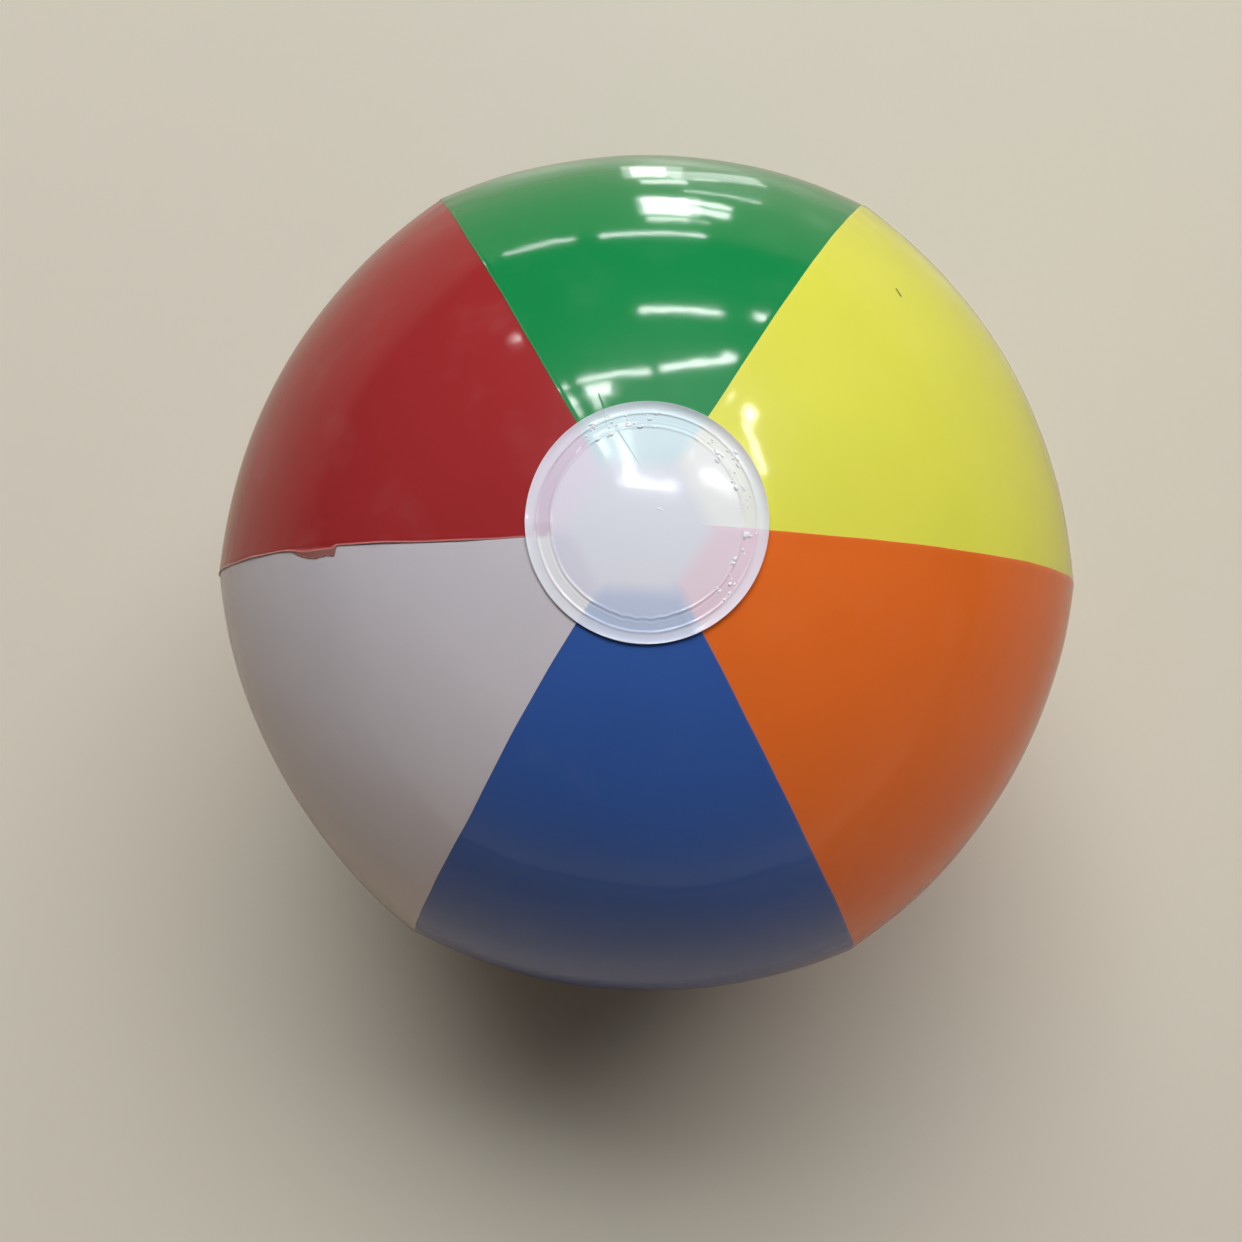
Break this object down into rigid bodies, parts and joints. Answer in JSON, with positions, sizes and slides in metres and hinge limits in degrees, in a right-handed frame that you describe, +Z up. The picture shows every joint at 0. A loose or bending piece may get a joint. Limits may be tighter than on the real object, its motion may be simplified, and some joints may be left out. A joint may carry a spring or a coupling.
{
  "type": "inflatable beach ball",
  "caption": "Round inflatable ball of coloured film panels welded edge over edge between translucent end discs, with a push-in valve whose plug pulls out.",
  "frame": {"origin": "under the ball's centre, on the lower disc's flat patch that the ball stands on", "axes": "+Z up through both end discs, +X out through the weld between the orange and yellow panels"},
  "size_m": [0.2808, 0.274, 0.2741],
  "materials": {
    "vinyl_yellow": "glossy opaque vinyl film",
    "vinyl_green": "glossy opaque vinyl film",
    "vinyl_red": "glossy opaque vinyl film",
    "vinyl_white": "glossy opaque vinyl film",
    "vinyl_blue": "glossy opaque vinyl film",
    "vinyl_orange": "glossy opaque vinyl film",
    "disc_film": "glossy milky translucent vinyl film",
    "valve_vinyl": "soft translucent moulded vinyl"
  },
  "bodies": {
    "ball": {"panel_yellow": "vinyl_yellow", "panel_green": "vinyl_green", "panel_red": "vinyl_red", "panel_white": "vinyl_white", "panel_blue": "vinyl_blue", "panel_orange": "vinyl_orange", "end_disc_top": "disc_film", "end_disc_bottom": "disc_film", "valve_flange": "valve_vinyl", "valve_skirt": "valve_vinyl"},
    "stem": {"valve_stem": "valve_vinyl", "plug_strap": "valve_vinyl"},
    "plug": {"valve_plug": "valve_vinyl"},
    "flap": {"check_flap": "valve_vinyl"}
  },
  "joints": [
    {"name": "stem_pop", "type": "slide", "parent": "ball", "child": "stem", "axis": [-0.6124, -0.3536, -0.7071], "range_m": [0, 0.016], "deforming": ["valve_skirt"]},
    {"name": "plug_pull", "type": "slide", "parent": "stem", "child": "plug", "axis": [-0.6124, -0.3536, -0.7071], "range_m": [0, 0.011], "deforming": ["plug_strap"]},
    {"name": "flap_open", "type": "hinge", "parent": "stem", "child": "flap", "pos_m": [-0.07548, -0.04889, 0.04717], "axis": [0.6124, 0.3536, -0.7071], "range_deg": [0, 60], "stiffness_Nm_per_rad": 0.0001, "springref_deg": -5.73}
  ]
}
